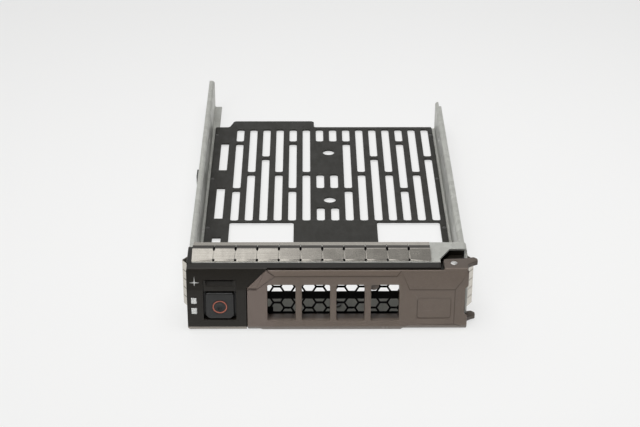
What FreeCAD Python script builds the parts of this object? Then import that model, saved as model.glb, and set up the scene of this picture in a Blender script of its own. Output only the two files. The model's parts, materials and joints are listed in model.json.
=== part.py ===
import FreeCAD, Part
import math
import os

V = FreeCAD.Vector

# Hot swap caddy for one 3.5 inch drive. Millimetres. X runs across the caddy, +Y from the front face to the
# connector end, +Z up. The origin is on the underside, midway between the rails, in the front face's plane.

# ---------------------------------------------------------------- what the caddy has to hold and slide in
drive_width = 101.6
drive_side_gap = 0.2
drive_hole_height = 6.35
drive_hole_span = 101.6
drive_hole_front = 42.9
drive_hole_r = 1.9
sheet = 0.8
bend_r = 0.5
seat_gap = 0.05
through = 1.0
beyond_all = 30.0

# ---------------------------------------------------------------- rails
wall_inner = drive_width / 2 + drive_side_gap
wall_outer = wall_inner + sheet
rail_height = 14.3
rail_flange = 2.4
rail_foot = 3.1
rail_start = 22.0
left_rail_end = 193.0
right_rail_end = 169.4
tab_start = 9.0
tab_bottom = 2.7
left_tab_top = 9.4
right_tab_top = 13.0
joggle = (20.7, 21.8)
relief_hole_r = 1.0
relief_hole_drop = 1.9
relief_holes = (55.0, 109.5, 136.0)
flange_notch = (1.0, 4.6)
pipe_window = 6.0

# ---------------------------------------------------------------- base plate
plate_half = wall_inner - 1.3
plate_front = 8.0
plate_rear = 169.2
plate_bottom = sheet
plate_top = plate_bottom + sheet
tab_left = -plate_half + 6.4
tab_right = tab_left + 38.8
tab_rear = plate_rear + 6.3
slot_columns = 15
slot_first = -plate_half + 11.7
slot_last = plate_half - 3.7
slot_pitch = (slot_last - slot_first) / (slot_columns - 1)
slot_width = 3.3
slot_corner = 1.0
field_front = 81.0
field_rear = plate_rear - 2.3
web = 2.3
web_pitch = 15.0
web_rear = field_rear - 13.5
edge_slot_x = -plate_half + 5.05
edge_slot_width = 3.5
edge_slots = ((82.6, 109.8), (126.2, 152.6), (40.0, 67.0))
centre_hole_x = 1.9
centre_hole_r = 2.6
centre_hole_rear = web_rear - 9.9
centre_hole_span = 44.45
window_front = 38.0
window_rear = field_front - 1.2
window_spans = ((-plate_half + 9.9, centre_hole_x - 15.2), (centre_hole_x + 19.2, plate_half - 2.6))
vent_front = 24.4
vent_rear = 34.0

# ---------------------------------------------------------------- front frame (folded sheet sleeve)
frame_half = wall_outer + 0.1
frame_bottom = plate_top
frame_top = 26.0
frame_front = 5.5
frame_rear = 20.2
frame_side_front = 7.0
frame_floor_rear = 18.0
frame_corner_r = 1.3
seam = 0.25
seam_x = -10.0

# ---------------------------------------------------------------- bezel
face_half = frame_half + 0.15
face_bottom = 0.2
face_top = frame_top - seat_gap
face_depth = frame_front - 0.1
face_wall = 2.0
face_corner_r = 1.0
cavity_wall = 1.2
roof_start = 17.4
roof_setback = 0.9
roof_height = face_top - 0.75
foot_bevel_height = 2.2
foot_bevel_depth = 0.9
foot_bevel_taper = 3.5
left_bevel_height = 1.2
block_width = 21.85
recess_floor = 4.1
lip_front = 1.8
lip_top_height = 1.95
lip_bottom_height = 1.3
rim_depth = 2.4
rim_wall = 1.0
rim_gap = 0.15
rim_overlap = 0.5
corner_finger_width = 1.75
corner_finger_rear = 16.5
corner_finger_z = (face_top - 1.75, face_top + 0.35)

# ---------------------------------------------------------------- handle and pivot
pivot_x = face_half - 5.85
pivot_y = 5.4
pin_r = 1.25
pin_head_r = 1.9
pin_head = 0.5
ear_fit = 0.05
bore_fit = 0.02
handle_gap = 0.3
handle_left = -face_half + block_width + handle_gap
handle_right = face_half - 0.55
handle_bottom = 0.3
handle_top = roof_height
corner_cut = (7.1, 7.2)
skin = 1.5
rib_rear = 3.6
rib_wall = 1.2
collar_rear = 5.1
collar_wall = 1.0
left_bevel_end = handle_left + 5.9
window_count = 4
window_bar = 2.35
window_first = handle_left + 7.4
window_pitch = (handle_right - window_first - 23.0) / window_count
window_width = window_pitch - window_bar
window_last = window_first + window_pitch * window_count - window_bar
window_bottom = 4.1
window_top = 19.5
window_corner = 0.8
pad_crest = 23.1
pad_left = (window_first - 4.0, window_first + 3.0)
pad_right = (window_last + 3.7, window_last - 1.1)
pad_side_run = 1.8
side_bevel_start = handle_right - 4.9
side_bevel_slope = 0.157
foot_bevel_start = window_last + 0.4
badge = (handle_right - 18.7, handle_right - 6.2, 5.0, 13.8)
badge_depth = 0.3
badge_corner = 1.0
edge_notch = (handle_right - 1.1, 5.5, 17.5)
nick = (handle_left + 3.6, 17.5, 17.9, 0.3)
upper_ear = (24.0, 25.8)
lower_ear = (0.7, 2.5)
ear_left = -3.7
ear_front = 0.9
claw_tip = 8.9
catch_x = (handle_left + 1.5, handle_left + 3.7)
catch_z = (8.0, 13.0)
catch_rear = 9.0
tooth_reach = 1.05
tooth_front = 7.2
stop_boss = (window_last - 9.3, window_top - 1.6, 1.8)

# ---------------------------------------------------------------- mesh screen and its airway
airway = (window_first - 1.7, window_last + 1.7, window_bottom - 1.2, window_top + 1.9)
mesh_front = face_depth + seat_gap
mesh_thick = 0.6
mesh_span = (airway[0] - 1.0, airway[1] + 4.6)
mesh_height = (frame_bottom + sheet + 0.2, airway[3] + 2.0)
hex_across = 4.57
hex_web = 0.62
hex_x = 0.8
hex_columns = 15
mesh_bar = (10.35, 13.25)
hex_zones = ((window_bottom + 0.4, mesh_bar[0], mesh_bar[0] - 1.85),
             (mesh_bar[1], airway[3] - 0.4, mesh_bar[1] + 2.15))
mesh_land = (airway[0], window_first + 2.0, 0.0, 6.6)
peg_r = 0.7
pegs = ((airway[1] + 2.4, 5.8), (airway[1] + 2.4, 21.0), (window_first + window_pitch, airway[3] + 1.0),
        (window_last - window_pitch, airway[3] + 1.0))

# ---------------------------------------------------------------- hinge housing at the right end of the bezel
pocket_left = pivot_x - 4.9
claw_pocket = ((pocket_left, pivot_y - 0.2), (pocket_left, pivot_y + 2.7), (pocket_left + 4.0, pivot_y + 9.8),
               (face_half + 0.6, pivot_y + 10.1), (face_half + 0.6, pivot_y - 0.2))
boss_r = 3.6
housing_top = upper_ear[0] - 0.4
housing_bottom = lower_ear[1] + 0.3
coil_bottom = 9.6
coil_pitch = 1.1
coil_turns = 4
coil_leg = 5.6
coil_r = 1.95
coil_clear = 0.6
wire_r = 0.32

# ---------------------------------------------------------------- release button and latch
button_x = (-face_half + 6.85, -face_half + 17.25)
button_z = (5.1, 16.0)
button_front = -0.1
button_gap = (0.8, 0.55)
button_flange = 1.5
button_corner = 1.3
flange_thick = 1.2
flange_gap = 0.1
well = (button_x[0] - button_gap[0], button_x[1] + button_gap[0] + 0.1, button_z[1], 21.3)
well_depth = 0.5
scoop_floor = 18.4
scoop_depth = 2.0
ring_r = (2.25, 2.85)
ring_depth = 0.3
ring_centre = ((button_x[0] + button_x[1]) / 2, 10.2)
dimple_r = 1.5
dimple_depth = 0.5
wedge_left = ring_centre[0] - 2.2
wedge_right = ring_centre[0] + 3.0
wedge_start = 5.6
wedge_tip = 8.4
wedge_z = (10.0, 13.0)
cam_gap = 0.08
case_x = (well[0] - 2.2, handle_left - 0.5)
case_wall = 1.2
case_front = 5.6
case_rear = 12.2
case_z = (2.8, 14.8)
case_ear_top = 22.5
slider_y = (5.8, 8.4)
slider_left = case_x[0] + 3.8
slider_bar_z = (7.8, 9.8)
slide_gap = 0.2
nose_gap = 0.15
nose_bevel = 1.0
lug = (slider_left, slider_left + 1.6)
lug_bottom = 4.3
spring_z = 6.0
spring_coil_r = 1.35
spring_wire_r = 0.25
spring_turns = 6
screw_x = (case_x[0] + 2.2, case_x[1] - 2.6)
screw_z = 19.9
screw_r = 1.0
screw_head_r = 2.0
screw_head = 1.3
screw_slot = (1.3, 0.25, 0.6)
screw_boss_r = 2.1

# ---------------------------------------------------------------- light pipes
lens_x = (-face_half + 1.55, -face_half + 3.55)
lens_front = -0.1
upper_lens = (11.6, 14.0)
lower_lens = (7.2, 9.6)
pipe_size = 1.4
pipe_x = (lens_x[1] - pipe_size, lens_x[1])
upper_pipe = 11.9
lower_pipe = 10.3
pipe_outer = wall_outer + 0.1
pipe_jog = (21.0, 24.6)
pipe_hooks = (60.0, 122.0, left_rail_end - 11.0)
hook_length = 5.0
clip_y = 98.0
clip_length = 6.0
clip_wall = 0.8

# ---------------------------------------------------------------- contact strips
strip_thick = 0.2
strip_left = -frame_half + 1.6
strip_right = pocket_left - 3.4
finger_count = 11
finger_pitch = (strip_right - strip_left) / finger_count
strip_front = 5.9
strip_rear = frame_rear - 0.2
strip_heel = 17.2
strip_crest = 1.25
strip_ridge = (1.7, 4.4)
finger_slit = 0.25
relief_r = 0.45
side_strip_reach = 2.2
side_strip_y = (8.6, 11.8, 14.6, 16.6)
side_strip_z = (4.9, 23.4)
side_fingers = 5

# ---------------------------------------------------------------- rivets
plate_rivet_r = 0.9
plate_rivet_x = plate_half - 0.95
plate_rivets_y = (30.0, 74.8, 118.0, 161.0)
side_rivet_r = 1.2
side_rivet_y = 17.8
side_rivets_z = (4.8, 8.2)
floor_rivet_r = 1.5
floor_rivet_y = 14.0
floor_rivets_x = (seam_x - 18.0, seam_x + 13.0, seam_x + 44.0)
rivet_head = 0.5


# ================================================================ helpers
def box(x, y, z):
    corner = V(min(x), min(y), min(z))
    return Part.makeBox(abs(x[1] - x[0]), abs(y[1] - y[0]), abs(z[1] - z[0]), corner)


def rod(axis, centre, start, end, radius):
    # a cylinder along X, Y or Z; centre holds the two other coordinates in X, Y, Z order
    spot = {"x": V(start, *centre), "y": V(centre[0], start, centre[1]), "z": V(*centre, start)}[axis]
    way = {"x": V(1, 0, 0), "y": V(0, 1, 0), "z": V(0, 0, 1)}[axis]
    return Part.makeCylinder(radius, end - start, spot, way)


def lift(axis, u, v, height):
    # a point of a flat outline, placed square to the named axis
    return {"x": V(height, u, v), "y": V(u, height, v), "z": V(u, v, height)}[axis]


def round_corner(before, corner, after, radius):
    # start, middle and end of the arc that rounds a corner
    a = FreeCAD.Vector(before[0] - corner[0], before[1] - corner[1], 0).normalize()
    b = FreeCAD.Vector(after[0] - corner[0], after[1] - corner[1], 0).normalize()
    half = a.getAngle(b) / 2
    reach = radius / math.tan(half)
    middle = (a + b).normalize() * (radius / math.sin(half) - radius)
    spots = (a * reach, middle, b * reach)
    return [(corner[0] + s.x, corner[1] + s.y) for s in spots]


def outline(axis, points, radii, height):
    # closed wire through the points; each corner is rounded by its own radius, and 0 keeps it sharp
    count = len(points)
    corners = []
    for i, point in enumerate(points):
        if radii[i] > 0:
            corners.append(round_corner(points[i - 1], point, points[(i + 1) % count], radii[i]))
        else:
            corners.append([point, point, point])
    edges = []
    for i, (start, middle, end) in enumerate(corners):
        if radii[i] > 0:
            edges.append(Part.Arc(*(lift(axis, *p, height) for p in (start, middle, end))).toShape())
        follow = corners[(i + 1) % count][0]
        if math.dist(end, follow) > 1e-6:
            edges.append(Part.makeLine(lift(axis, *end, height), lift(axis, *follow, height)))
    return Part.Wire(edges)


def prism(axis, points, start, end, radii=0.0):
    if not isinstance(radii, (list, tuple)):
        radii = [radii] * len(points)
    push = {"x": V(1, 0, 0), "y": V(0, 1, 0), "z": V(0, 0, 1)}[axis] * (end - start)
    return Part.Face(outline(axis, points, radii, start)).extrude(push)


def rectangle(u, v):
    return [(u[0], v[0]), (u[1], v[0]), (u[1], v[1]), (u[0], v[1])]


def shifted(points, distance):
    # the path moved sideways to its left, with its corners kept
    normals = []
    for (x0, y0), (x1, y1) in zip(points, points[1:]):
        length = math.dist((x0, y0), (x1, y1))
        normals.append(((y0 - y1) / length, (x1 - x0) / length))
    moved = []
    for i, (x, y) in enumerate(points):
        n = normals[max(i - 1, 0)]
        m = normals[min(i, len(normals) - 1)]
        scale = distance / (1 + n[0] * m[0] + n[1] * m[1])
        moved.append((x + (n[0] + m[0]) * scale, y + (n[1] + m[1]) * scale))
    return moved


def folded(axis, path, thick, radius, start, end):
    # a bent sheet: the path is its middle line, and every fold has this inner radius
    left = shifted(path, thick / 2)
    right = shifted(path, -thick / 2)
    inner = [0.0] * len(path)
    outer = [0.0] * len(path)
    for i in range(1, len(path) - 1):
        (x0, y0), (x1, y1), (x2, y2) = path[i - 1:i + 2]
        turns_left = (x1 - x0) * (y2 - y1) - (y1 - y0) * (x2 - x1) > 0
        inner[i] = radius if turns_left else radius + thick
        outer[i] = radius + thick if turns_left else radius
    return prism(axis, left + right[::-1], start, end, inner + outer[::-1])


def beyond(a, b, c, size=150.0):
    # the block on the side of plane abc that (b - a) x (c - a) points to
    u = (b - a).normalize()
    n = u.cross(c - a).normalize()
    w = n.cross(u)
    square = [a + u * i * size + w * j * size for i, j in ((-1, -1), (1, -1), (1, 1), (-1, 1))]
    return Part.Face(Part.makePolygon(square + square[:1])).extrude(n * size)


def joined(shapes):
    return shapes[0].multiFuse(shapes[1:]).removeSplitter()


def without(shape, tools):
    return shape.cut(tools) if tools else shape


def mirrored(shape):
    return shape.mirror(V(0, 0, 0), V(1, 0, 0))


def coil(axis, centre, start, pitch, turns, radius, wire):
    # a round wire wound about an axis through centre
    spine = Part.makeHelix(pitch, pitch * turns, radius)
    ring = Part.Wire(Part.makeCircle(wire, V(radius, 0, 0), V(0, 1, 0)))
    wound = Part.Wire(spine).makePipeShell([ring], True, True)
    if axis == "x":
        wound.rotate(V(0, 0, 0), V(0, 1, 0), 90)
    wound.translate(lift(axis, *centre, start))
    return wound


def save(node, shape):
    if shape.ShapeType != "Compound" and shape.Volume < 0:
        shape.reverse()
    shape.exportStep("parts/" + node + ".step")
    print(node, len(shape.Solids), round(shape.Volume, 2), shape.isValid())


# ================================================================ sheet metal
def base_plate():
    edge = plate_half
    corner = pocket_left - handle_gap
    claw_rear = claw_pocket[3][1] + handle_gap
    points = [(-edge, plate_front), (corner, plate_front), (corner, claw_rear), (edge, claw_rear),
              (edge, plate_rear), (tab_right, plate_rear), (tab_right, tab_rear),
              (tab_left + 2.0, tab_rear), (tab_left, plate_rear), (-edge, plate_rear)]
    radii = [0, 0, 1.0, 0, 1.0, 1.0, 1.5, 1.5, 1.5, 1.0]
    plate = prism("z", points, plate_bottom, plate_top, radii)

    def opening(x, y, radius):
        return prism("z", rectangle(x, y), plate_bottom - 1, plate_top + 1, radius)

    tools = [opening(span, (window_front, window_rear), 1.0) for span in window_spans]
    tools.append(opening((window_spans[0][0], window_spans[1][1]), (vent_front, vent_rear), 1.0))
    half = edge_slot_width / 2
    for span in edge_slots:
        tools.append(opening((edge_slot_x - half, edge_slot_x + half), span, 0.4))
    for column in range(slot_columns):
        x = slot_first + column * slot_pitch
        for span in slot_spans(column):
            tools.append(opening((x - slot_width / 2, x + slot_width / 2), span, slot_corner))
    for y in (centre_hole_rear, centre_hole_rear - centre_hole_span):
        tools.append(rod("z", (centre_hole_x, y), plate_bottom - 1, plate_top + 1, centre_hole_r))
    for x, y in plate_rivet_spots():
        tools.append(rod("z", (x, y), 0, plate_top + 1, plate_rivet_r + bore_fit))
    for x in floor_rivets_x:
        tools.append(rod("z", (x, floor_rivet_y), 0, plate_top + 1, floor_rivet_r + bore_fit))
    return without(plate, tools)


def slot_spans(column):
    # webs stand on five cross lines; each column skips some of them, which staggers the slots
    lines = [web_rear - i * web_pitch for i in range(5)]
    if column in (6, 7):
        stretches = [(lines[0], field_rear), (lines[3], lines[2]), (field_front, lines[4])]
    else:
        cuts = {0: (0, 3), 1: (2,), 2: (1,), 3: (2,)}[column % 4]
        marks = [field_rear] + [lines[i] for i in cuts] + [field_front]
        stretches = [(low, high) for high, low in zip(marks, marks[1:])]
    spans = []
    for low, high in stretches:
        spans.append((low if low == field_front else low + web / 2,
                      high if high == field_rear else high - web / 2))
    return spans


def plate_rivet_spots():
    return [(side * plate_rivet_x, y) for side in (-1, 1) for y in plate_rivets_y]


def rail(end, tab_height, foot_start):
    # drawn for the right side: foot under the plate, wall beside the drive, flange turned out at the top
    middle = wall_inner + sheet / 2
    section = [(wall_inner - rail_foot, sheet / 2), (middle, sheet / 2),
               (middle, rail_height - sheet / 2), (wall_outer + rail_flange - sheet, rail_height - sheet / 2)]
    body = folded("y", section, sheet, bend_r, rail_start, end)
    foot = box((wall_inner - rail_foot, wall_inner - 0.1), (foot_start, rail_start + 1), (0, sheet))
    inside = frame_half - sheet - seat_gap - sheet / 2
    tab_path = [(inside, tab_start), (inside, joggle[0]), (middle, joggle[1]), (middle, rail_start + 1.5)]
    tab = folded("z", tab_path, sheet, bend_r, tab_bottom, tab_height)
    holes = []
    for i in (0, 1):
        spot = (drive_hole_front + i * drive_hole_span, plate_top + drive_hole_height)
        holes.append(rod("x", spot, wall_inner - 2, wall_outer + 1, drive_hole_r))
    for y in plate_rivets_y:
        holes.append(rod("z", (plate_rivet_x, y), -1, sheet + 1, plate_rivet_r + bore_fit))
    for z in side_rivets_z:
        holes.append(rod("x", (side_rivet_y, z), inside - 1, wall_outer + 1, side_rivet_r + bore_fit))
    return without(joined([body, foot, tab]), holes)


def right_rail():
    made = rail(right_rail_end, right_tab_top, claw_pocket[3][1] + 0.3)
    width, length = flange_notch
    outer = wall_outer + rail_flange - sheet
    tools = [box((outer - width, outer + 1), (right_rail_end - length, right_rail_end + 1),
                 (rail_height - 2, rail_height + 1))]
    for y in relief_holes:
        spot = (y, rail_height - sheet - relief_hole_drop)
        tools.append(rod("x", spot, wall_inner - 1, wall_outer + 1, relief_hole_r))
    return without(made, tools)


def left_rail():
    made = mirrored(rail(left_rail_end, left_tab_top, plate_front + 2))
    gate = box((-wall_outer - 1, -wall_inner + 1), (rail_start - 3, rail_start + pipe_window),
               (lower_pipe - 0.5, rail_height - sheet))
    made = without(made, [gate])
    hooks = []
    for y in pipe_hooks:
        shelf = box((-pipe_outer - pipe_size - 0.2, -wall_inner - 0.2), (y, y + hook_length),
                    (lower_pipe - 0.1 - sheet, lower_pipe - 0.1))
        hooks.append(shelf)
    return joined([made] + hooks)


def front_frame():
    outer = rectangle((-frame_half, frame_half), (frame_bottom, frame_top))
    inner = rectangle((-frame_half + sheet, frame_half - sheet), (frame_bottom + sheet, frame_top - sheet))
    shell = prism("y", outer, frame_front, frame_rear, frame_corner_r)
    tools = [prism("y", inner, frame_front - 1, frame_rear + 1, frame_corner_r - sheet)]
    floor_z = (0, frame_bottom + sheet + through)
    tools.append(box((seam_x - seam / 2, seam_x + seam / 2), (frame_front - 1, frame_rear + 1), floor_z))
    tools.append(box((-frame_half + 3, frame_half - 3), (frame_floor_rear, frame_rear + 1), floor_z))
    tools.append(box((frame_half - 2, frame_half + 1), (frame_front - 1, frame_side_front), (0, beyond_all)))
    tools.append(prism("z", claw_pocket, housing_top, frame_top + 1))
    tools.append(prism("z", claw_pocket, 0, housing_bottom))
    finger_x = -face_half + corner_finger_width
    tools.append(box((-frame_half - 1, finger_x + rim_gap), (frame_front - 1, corner_finger_rear + rim_gap),
                     (corner_finger_z[0] - rim_gap, frame_top + 1)))
    for side in (-1, 1):
        for z in side_rivets_z:
            ends = sorted((side * (frame_half - 3), side * (frame_half + 1)))
            tools.append(rod("x", (side_rivet_y, z), ends[0], ends[1], side_rivet_r + bore_fit))
    for x in floor_rivets_x:
        tools.append(rod("z", (x, floor_rivet_y), *floor_z, floor_rivet_r + bore_fit))
    return without(shell, tools)


# ================================================================ bezel
def roof_wedge(x):
    # what lies in front of the upper face, which leans back above roof_start
    slope = roof_setback / (roof_height - roof_start)
    top = face_top + 2
    points = [(0, roof_start), (slope * (top - roof_start), top), (-3, top), (-3, roof_start)]
    return prism("x", points, x[0], x[1])


def foot_wedge(start, end, height):
    # the bevel along the foot of the face; it dies out towards its start
    slope = foot_bevel_depth / foot_bevel_height
    points = [(0, face_bottom + height), (-3, face_bottom + height), (-3, face_bottom - 1),
              (slope * (height + 1), face_bottom - 1)]
    wedge = prism("x", points, min(start, end), max(start, end))
    foot = V(start, 0, face_bottom)
    across = V(0, 1, 0) if end > start else V(0, -1, 0)
    reach = foot_bevel_taper if end > start else -foot_bevel_taper
    return without(wedge, [beyond(foot, foot + V(reach, 0, height), foot + across)])


def bezel_left_block():
    right = -face_half + block_width
    cut_x, cut_z = corner_cut
    rise = (face_top - (handle_top - cut_z)) * cut_x / cut_z
    face = [(-face_half, face_bottom), (right, face_bottom), (right, handle_top - cut_z),
            (right + rise, face_top), (-face_half, face_top)]
    block = prism("y", face, 0, face_depth, [face_corner_r, 0, 0, 0, face_corner_r])
    cavity = box((-face_half + cavity_wall, right - cavity_wall), (face_wall, face_depth + 1),
                 (face_bottom + 1.4, face_top - 1.6))
    scoop_points = [(well_depth - 0.3, scoop_floor), (scoop_depth, well[3] - 0.3), (scoop_depth, well[3]),
                    (-1, well[3]), (-1, scoop_floor)]
    tools = [roof_wedge((-face_half - 1, right + rise)), cavity,
             foot_wedge(left_bevel_end, -face_half - 1, left_bevel_height),
             box(well[:2], (-1, well_depth), well[2:]), prism("x", scoop_points, well[0] + 1, well[1] - 1)]
    side, end = button_gap
    mouth = rectangle((button_x[0] - side, button_x[1] + side), (button_z[0] - end, button_z[1] + end))
    tools.append(prism("y", mouth, -1, face_depth + 1, side))
    block = without(block, tools)
    backing_z = (button_z[1] + button_flange + 0.2, well[3] + 0.8)
    backing = box(well[:2], (face_wall, face_wall + 0.8), backing_z)
    bosses = [rod("y", (x, screw_z), face_wall - 0.5, face_depth, screw_boss_r) for x in screw_x]
    holes = [rod("y", (x, screw_z), face_wall + 0.6, face_depth + 1, screw_r + bore_fit) for x in screw_x]
    clear_x = (lens_x[0] - seat_gap, lens_x[1] + seat_gap)
    for low, high in (upper_lens, lower_lens):
        holes.append(box(clear_x, (-1, face_depth + 1), (low - seat_gap, high + seat_gap)))
    return without(joined([block, backing] + bosses), holes)


def bezel_back_wall():
    left = -face_half + block_width - cavity_wall
    right = pocket_left - 0.1
    wall = box((left, right), (recess_floor, face_depth), (face_bottom, face_top))
    top = box((left, right), (lip_front, face_depth), (face_top - lip_top_height, face_top))
    bottom = box((left, right), (lip_front, face_depth), (face_bottom, face_bottom + lip_bottom_height))
    x0, x1, z0, z1 = airway
    slot_z = (catch_z[0] - 0.6, catch_z[1] + 0.6)
    catch_slot = box((handle_left - 0.1, catch_x[1] + 0.8), (0, face_depth + 1), slot_z)
    openings = [prism("y", rectangle((x0, x1), (z0, z1)), 0, face_depth + 1, 1.0), catch_slot]
    return without(joined([wall, top, bottom]), openings)


def bezel_rim():
    # plugs into the mouth of the frame
    half = frame_half - sheet - rim_gap
    low = frame_bottom + sheet + rim_gap
    high = frame_top - sheet - rim_gap
    rear = face_depth + rim_depth
    ring = prism("y", rectangle((-half, half), (low, high)), face_depth - rim_overlap, rear, 0.5)
    inside = rectangle((-half + rim_wall, half - rim_wall), (low + rim_wall, high - rim_wall))
    foot = (0, low + rim_wall + through)
    tools = [prism("y", inside, 0, rear + 1, 0.3)]
    tools.append(box((-half - 1, lens_x[1] + 0.2), (0, rear + 1), (lower_lens[0] - 0.4, upper_lens[1] + 0.4)))
    tools.append(box((case_x[0] - 0.3, mesh_span[1] + 0.3), (0, rear + 1), foot))
    tools.append(box((pocket_left - seat_gap, half + 1), (0, rear + 1), (0, frame_top)))
    return without(ring, tools)


def hinge_housing():
    half = frame_half - 2 * sheet - seat_gap - rim_gap
    inset = 0.3
    (_, _), (x1, y1), (x2, y2), _, _ = claw_pocket
    plan = [(x1 - 0.2, recess_floor), (pivot_x, recess_floor - 0.4), (half, pivot_y), (half, y2 - inset),
            (x2 + inset, y2 - inset), (x1 - 0.2, y1)]
    body = prism("z", plan, housing_bottom, housing_top, [0, 0, 0.8, 0.8, 0.8, 0])
    boss = rod("z", (pivot_x, pivot_y), housing_bottom, housing_top, boss_r)
    front = pivot_y + boss_r + 1.0
    pocket_plan = [(x1 + 1.3, front), (half - rim_wall, front), (half - rim_wall, y2 + 2), (x2 - 1.0, y2 + 2)]
    pocket = prism("z", pocket_plan, housing_bottom + cavity_wall, housing_top - cavity_wall)
    bay = (coil_bottom - coil_clear, coil_bottom + coil_pitch * coil_turns + coil_clear)
    spring_bay = rod("z", (pivot_x, pivot_y), *bay, coil_r + wire_r + 0.4)
    spring_mouth = box((x1 - 1, half + 1), (0, pivot_y), bay)
    bore = rod("z", (pivot_x, pivot_y), 0, beyond_all, pin_r + bore_fit)
    return without(joined([body, boss]), [pocket, spring_bay, spring_mouth, bore])


def front_bezel():
    finger_x = (-face_half, -face_half + corner_finger_width)
    low, high = corner_finger_z
    finger = box(finger_x, (face_depth - rim_overlap, corner_finger_rear), (low, high))
    lower = box(finger_x, (face_depth - rim_overlap, face_depth), (low - 1, high))
    posts = [rod("y", (x, z), face_depth - 0.3, mesh_front + mesh_thick + 0.3, peg_r) for x, z in pegs]
    return joined([bezel_left_block(), bezel_back_wall(), bezel_rim(), hinge_housing(), finger, lower] + posts)


def mesh_screen():
    # two fields of hexagons, with a plain bar between them
    back = mesh_front + mesh_thick
    sheet_face = prism("y", rectangle(mesh_span, mesh_height), mesh_front, back, 0.5)
    radius = (hex_across - hex_web) / math.sqrt(3)
    step = hex_across * math.sqrt(3) / 2
    land = box(mesh_land[:2], (mesh_front - 2, back + 2), mesh_land[2:])
    tools = []
    for low, high, first in hex_zones:
        zone = box((airway[0] + 0.4, airway[1] - 0.4), (mesh_front - through, back + through), (low, high))
        zone = zone.cut(land)
        cells = []
        for column in range(-(hex_columns // 2), hex_columns // 2 + 1):
            for row in range(-2, 4):
                x = hex_x + column * step
                z = first + (row + (column % 2) / 2) * hex_across
                cells.append(hexagon(x, z, radius, back))
        tools += [cell for cell in (c.common(zone) for c in cells) if cell.Volume > hex_web]
    tools += [rod("y", spot, mesh_front - 1, back + 1, peg_r + seat_gap) for spot in pegs]
    return without(sheet_face, tools)


def hexagon(x, z, radius, back):
    turns = [math.radians(60 * k) for k in range(6)]
    points = [(x + radius * math.cos(t), z + radius * math.sin(t)) for t in turns]
    return prism("y", points, mesh_front - through, back + through)


# ================================================================ handle
def handle_windows():
    spans = []
    for i in range(window_count):
        start = window_first + i * window_pitch
        spans.append((start, start + window_width))
    return spans


def handle_skin():
    cut_x, cut_z = corner_cut
    notch_x, notch_low, notch_high = edge_notch
    points = [(handle_left, handle_bottom), (handle_right, handle_bottom), (handle_right, notch_low),
              (notch_x, notch_low + 1), (notch_x, notch_high), (handle_right, notch_high + 1),
              (handle_right, handle_top), (handle_left + cut_x, handle_top), (handle_left, handle_top - cut_z)]
    slab = prism("y", points, 0, skin, [0.6, 0.6, 0, 0, 0, 0, 0.8, 0.8, 0.8])
    tools = [roof_wedge((handle_left - 1, handle_right + 1))]
    edge = V(side_bevel_start, 0, 0)
    tools.append(beyond(edge, edge + V(1, side_bevel_slope, 0), edge + V(0, 0, 1)))
    tools.append(foot_wedge(foot_bevel_start, handle_right + 1, foot_bevel_height))
    tools.append(foot_wedge(left_bevel_end, handle_left - 1, left_bevel_height))
    return without(slab, tools)


def handle_pad():
    # the flat field round the windows stands proud of the leaning upper face and falls away on three sides
    cut_x, cut_z = corner_cut
    pad = box((handle_left, pad_right[0] + 1), (0, skin), (roof_start - 1, handle_top))
    crest_a = V(0, 0, pad_crest)
    crest_b = V(1, 0, pad_crest)
    top = beyond(crest_a, crest_b, V(0, roof_setback, handle_top))
    left_low = V(pad_left[0], 0, roof_start)
    left_high = V(pad_left[1], 0, pad_crest)
    left = beyond(left_low, left_high, V(handle_left + cut_x, roof_setback, handle_top))
    right_low = V(pad_right[0], 0, roof_start)
    right_high = V(pad_right[1], 0, pad_crest)
    right = beyond(right_high, right_low, V(pad_right[1] + pad_side_run, roof_setback, handle_top))
    trim = prism("y", [(handle_left - 1, handle_top - cut_z - 1), (handle_left + cut_x + 1, handle_top + 1),
                       (handle_left - 1, handle_top + 1)], -1, skin + 1)
    return without(pad, [top, left, right, trim])


def ear(z):
    # one plate of the hinge, with the claw that grips the bay
    tip = pivot_x + claw_tip
    neck = handle_right - 0.5
    plan = [(pivot_x + ear_left, ear_front), (pivot_x + ear_left, pivot_y + 2.8),
            (pivot_x + 3.4, pivot_y + 3.2), (tip - 1.3, pivot_y + 4.2), (tip, pivot_y + 3.0),
            (tip, pivot_y + 1.3), (tip - 1.7, pivot_y + 0.5), (neck + 0.4, pivot_y - 1.0), (neck, ear_front)]
    return prism("z", plan, z[0], z[1], [0, 1.2, 3.0, 0.6, 0.8, 0.6, 1.5, 1.2, 0])


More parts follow.
